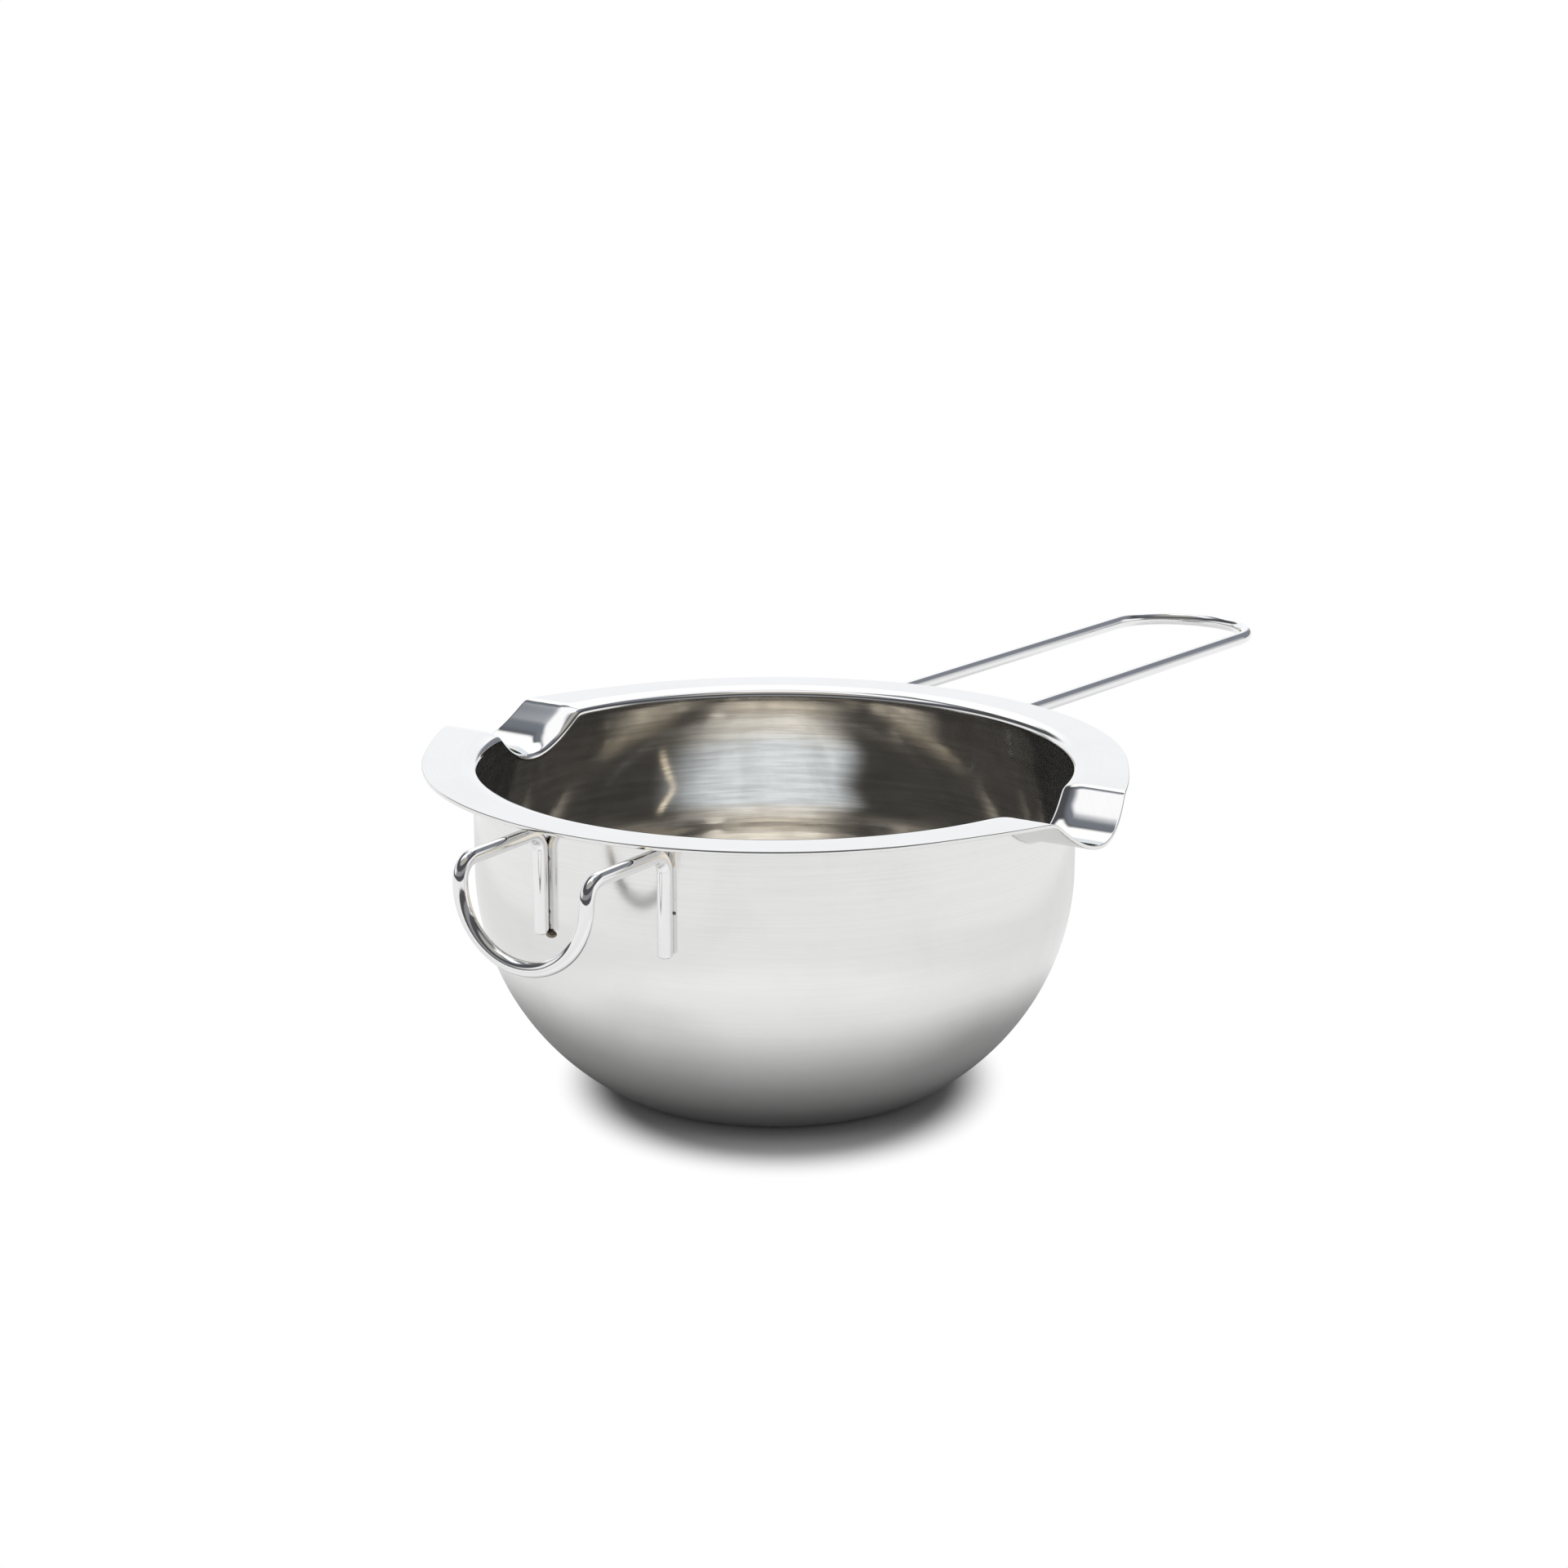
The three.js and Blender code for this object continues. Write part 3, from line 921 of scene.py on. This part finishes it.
# %% [markdown]
# ## The narrow view
# The rim, the spouts and the wires mirror the room straight away. The flat rim is white because it
# looks at a white backdrop behind the bowl: a column, with a shoulder on its left and a foot along
# the floor. The dark room beside it draws the dark bands in the spouts and along the wires. A panel
# on the right and a low wall round the rest keep the rim from turning black in other views.

# %% The narrow view
COOL_ROOM = (0.088, 0.090, 0.096, 1)
CEILING = (0.21, 0.23, 0.265, 1)
CEILING_BEHIND = (0.50, 0.47, 0.42, 1)
LOW_WALL = (1.00, 1.00, 1.01, 1)
LOW_WALL_BEHIND = (0.30, 0.30, 0.31, 1)
SIDE_ROOM = (0.245, 0.26, 0.295, 1)
SIDE_PANEL = (1.05, 1.05, 1.05, 1)
BACKDROP = (1.07, 1.08, 1.11, 1)
BACKDROP_HIGH = (1.30, 1.30, 1.30, 1)
CEILING_RISE, CEILING_BACK, BACKDROP_RISE = (46, 54), (70, 45), (17, 27)
LOW_WALL_BACK, LOW_WALL_DARKER = (138, 125), (85, 60)
LOW_WALL_FOOT, LOW_WALL_TOP = (4, 9), (27, 22)
SIDE_ROOM_LEFT, SIDE_ROOM_RIGHT, SIDE_ROOM_TOP = (12, 20), (80, 62), (46, 38)
SIDE_LEFT, SIDE_RIGHT, SIDE_TOP = (52, 70), (125, 105), (28, 22)
COLUMN_LEFT, COLUMN_FOOT, COLUMN_TOP = (-13, -8), (-8, -4), (60, 55)
COLUMN_RIGHT_LOW, COLUMN_RIGHT_HIGH, COLUMN_RIGHT_RISE = (20, 11), (50, 34), (30, 55)
SHOULDER_LEFT_LOW, SHOULDER_LEFT_HIGH, SHOULDER_LEFT_RISE = (-13, -8), (-31, -25), (28, 42)
SHOULDER_RIGHT, SHOULDER_FOOT, SHOULDER_TOP = (11, 6), (24, 28), (49.5, 45)
FOOT_LEFT, FOOT_RIGHT, FOOT_RISE, FOOT_TOP = (-52, -40), (22, 12), (0, 8), (27, 21)


def white_backdrop(tree, heading, elevation):
    """The share of the column, its foot and its shoulder together."""
    right = sliding_edge(tree, elevation, COLUMN_RIGHT_RISE, COLUMN_RIGHT_LOW, COLUMN_RIGHT_HIGH)
    column = panel(tree, (heading, COLUMN_LEFT), (heading, right), (elevation, COLUMN_FOOT),
                   (elevation, COLUMN_TOP))
    left = sliding_edge(tree, elevation, SHOULDER_LEFT_RISE, SHOULDER_LEFT_LOW, SHOULDER_LEFT_HIGH)
    shoulder = panel(tree, (heading, left), (heading, SHOULDER_RIGHT), (elevation, SHOULDER_FOOT),
                     (elevation, SHOULDER_TOP))
    foot = panel(tree, (heading, FOOT_LEFT), (heading, FOOT_RIGHT), (elevation, FOOT_RISE),
                 (elevation, FOOT_TOP))
    return calc(tree, "MAXIMUM", calc(tree, "MAXIMUM", column, foot), shoulder)


def narrow_view(tree, heading, elevation, behind):
    """What the first mirror sees."""
    ceiling = (elevation, CEILING_RISE)
    low_wall = panel(tree, (behind, LOW_WALL_BACK), (elevation, LOW_WALL_FOOT),
                     (elevation, LOW_WALL_TOP))
    darker = panel(tree, (behind, LOW_WALL_DARKER))
    side_room = panel(tree, (heading, SIDE_ROOM_LEFT), (heading, SIDE_ROOM_RIGHT),
                      (elevation, SIDE_ROOM_TOP))
    side_panel = panel(tree, (heading, SIDE_LEFT), (heading, SIDE_RIGHT), (elevation, SIDE_TOP))
    high = panel(tree, (elevation, BACKDROP_RISE))
    return layered(tree, COOL_ROOM, [
        (panel(tree, ceiling), CEILING),
        (panel(tree, ceiling, (behind, CEILING_BACK)), CEILING_BEHIND),
        (low_wall, blend_colour(tree, darker, LOW_WALL, LOW_WALL_BEHIND)),
        (side_room, SIDE_ROOM),
        (side_panel, SIDE_PANEL),
        (white_backdrop(tree, heading, elevation), blend_colour(tree, high, BACKDROP, BACKDROP_HIGH)),
        (lamp_share(tree, heading, elevation), LAMP),
    ])


print("Narrow view: backdrop up to", COLUMN_TOP[0], "degrees")

# %% [markdown]
# ## The wide view
# Inside the bowl, light goes from wall to wall before it leaves, so the inside shows another part of
# the studio: a brown room, cream walls low behind the camera and low on the far side, a cream strip
# on the left, and a wide backdrop that is warm below and cool above. Some of these are there for the
# second mirror alone, or up to the third. In a close studio, rays that bounce more often leave the
# bowl from another place and miss them.

# %% The wide view
WARM_ROOM = (0.056, 0.051, 0.045, 1)
LOW_SIDES = (0.10, 0.09, 0.08, 1)
LOW_SIDES_NEAR = (0.22, 0.20, 0.17, 1)
LOW_FRONT = (0.50, 0.44, 0.34, 1)
CREAM = (1.25, 1.14, 0.96, 1)
CREAM_NEAR = (1.22, 1.14, 1.00, 1)
STRIP = (1.30, 1.12, 0.84, 1)
BACKDROP_WARM = (1.12, 1.07, 0.98, 1)
BACKDROP_COOL = (1.07, 1.14, 1.19, 1)
FRONT_MIDDLE, CREAM_NEAR_MIDDLE, STRIP_HEADING = 10, -7, -95.5
LOW_RISE, FRONT_RISE, FRONT_HALF = (26, 10), (18, 9), (65, 25)
CREAM_RISE, CREAM_BEHIND = (19, 13), (100, 20)
CREAM_NEAR_RISE, CREAM_NEAR_HALF = (18, 13), (62, 35)
STRIP_HALF, STRIP_FOOT, STRIP_TOP = (4, 1), (22, 31), (46, 42)
WIDE_RISE, WIDE_TOP, WIDE_COOL_RISE = (13, 17.5), (62, 56), (24, 32)
WIDE_LEFT_LOW, WIDE_LEFT_HIGH, WIDE_LEFT_RISE = (95, 12), (128, 42), (20, 45)
WIDE_RIGHT_LOW, WIDE_RIGHT_HIGH, WIDE_RIGHT_RISE = (68, 12), (84, 45), (20, 30)


def wide_backdrop(tree, heading, elevation):
    leftward = calc(tree, "MULTIPLY", heading, -1)
    left = sliding_edge(tree, elevation, WIDE_LEFT_RISE, WIDE_LEFT_LOW, WIDE_LEFT_HIGH)
    right = sliding_edge(tree, elevation, WIDE_RIGHT_RISE, WIDE_RIGHT_LOW, WIDE_RIGHT_HIGH)
    return panel(tree, (leftward, left), (heading, right), (elevation, WIDE_RISE),
                 (elevation, WIDE_TOP))


def wide_view(tree, heading, elevation, behind, second, third):
    """What the later mirrors see. second and third are 1 up to that mirror, and 0 past it."""
    front = panel(tree, (elevation, FRONT_RISE), (beside(tree, heading, FRONT_MIDDLE), FRONT_HALF))
    cream = panel(tree, (elevation, CREAM_RISE), (behind, CREAM_BEHIND))
    near = panel(tree, (elevation, CREAM_NEAR_RISE),
                 (beside(tree, heading, CREAM_NEAR_MIDDLE), CREAM_NEAR_HALF))
    strip = panel(tree, (beside(tree, heading, STRIP_HEADING), STRIP_HALF), (elevation, STRIP_FOOT),
                  (elevation, STRIP_TOP))
    backdrop = wide_backdrop(tree, heading, elevation)
    cool = panel(tree, (elevation, WIDE_COOL_RISE))
    return layered(tree, WARM_ROOM, [
        (panel(tree, (elevation, LOW_RISE)), blend_colour(tree, second, LOW_SIDES, LOW_SIDES_NEAR)),
        (calc(tree, "MULTIPLY", front, third), LOW_FRONT),
        (cream, CREAM),
        (calc(tree, "MULTIPLY", near, second), CREAM_NEAR),
        (strip, STRIP),
        (calc(tree, "MULTIPLY", backdrop, second),
         blend_colour(tree, cool, BACKDROP_WARM, BACKDROP_COOL)),
        (lamp_share(tree, heading, elevation), LAMP),
    ])


print("Wide view: backdrop up to", WIDE_TOP[0], "degrees")

# %% [markdown]
# ## The world
# Light Path tells the world which kind of ray asks and how often it has bounced. Mirror rays get one
# of the two views, the camera sees plain white, and dull surfaces get a weak white dome, which
# softens the shadow on the sheet. A scene has one world, so all of this is one graph.
#
# Ray Depth counts the camera's own ray as 1, so the first mirror asks with 2. The world isn't sampled
# as a lamp, because such samples know nothing of these counts.

# %% The studio world
WHITE = (1, 1, 1, 1)
DOME = (0.37, 0.37, 0.37, 1)
FIRST_MIRROR, SECOND_MIRROR, THIRD_MIRROR = 2, 3, 4


def make_world():
    world = bpy.data.worlds.new("studio")
    world.use_nodes = True
    world.cycles.sampling_method = "NONE"
    tree = world.node_tree
    heading, elevation = room_angles(tree)
    behind = calc(tree, "SUBTRACT", HALF_TURN, calc(tree, "ABSOLUTE", heading))
    path = add(tree, "ShaderNodeLightPath").outputs
    first, second, third = (before(tree, path["Ray Depth"], mirror + 1)
                            for mirror in (FIRST_MIRROR, SECOND_MIRROR, THIRD_MIRROR))
    narrow = narrow_view(tree, heading, elevation, behind)
    wide = wide_view(tree, heading, elevation, behind, second, third)
    views = blend_colour(tree, first, wide, narrow)
    lit = blend_colour(tree, path["Is Diffuse Ray"], BLACK, DOME)
    straight = before(tree, path["Diffuse Depth"], 1)
    mirrored = calc(tree, "MULTIPLY", path["Is Glossy Ray"], straight)
    colour = blend_colour(tree, mirrored, lit, views)
    colour = blend_colour(tree, path["Is Camera Ray"], colour, WHITE)
    tree.links.new(colour, tree.nodes["Background"].inputs["Color"])
    bpy.context.scene.world = world
    return world


studio = make_world()
bpy.context.scene.view_settings.view_transform = "Standard"
print("World:", studio.name)

# %% [markdown]
# ## Camera
# The photograph is rebuilt by a camera of the same place and lens: the size and tilt of the rim's
# ellipse give its distance and elevation. The rim's middle isn't in the middle of the picture, so a
# small shift moves the frame instead of turning the camera, which keeps the perspective.

# %% Camera
RIM_CENTRE = UP * BOWL_HEIGHT
CAMERA_DISTANCE = 0.670
CAMERA_ELEVATION = math.radians(14.28)
FOCAL_PIXELS = 4814
PICTURE_PIXELS = 1920
RIM_CENTRE_PIXEL = (948.7, 926.5)
SENSOR_WIDTH = 36

sight = FAR * math.cos(CAMERA_ELEVATION) - UP * math.sin(CAMERA_ELEVATION)
camera_data = bpy.data.cameras.new("photo_camera")
camera_data.sensor_width = SENSOR_WIDTH
camera_data.lens = SENSOR_WIDTH * FOCAL_PIXELS / PICTURE_PIXELS
camera_data.shift_x = (PICTURE_PIXELS / 2 - RIM_CENTRE_PIXEL[0]) / PICTURE_PIXELS
camera_data.shift_y = (RIM_CENTRE_PIXEL[1] - PICTURE_PIXELS / 2) / PICTURE_PIXELS
camera = bpy.data.objects.new("photo_camera", camera_data)
camera.location = RIM_CENTRE - sight * CAMERA_DISTANCE
camera.rotation_euler = sight.to_track_quat("-Z", "Y").to_euler()
bpy.context.scene.collection.objects.link(camera)
bpy.context.scene.camera = camera
print("Camera at", [round(v, 3) for v in camera.location])
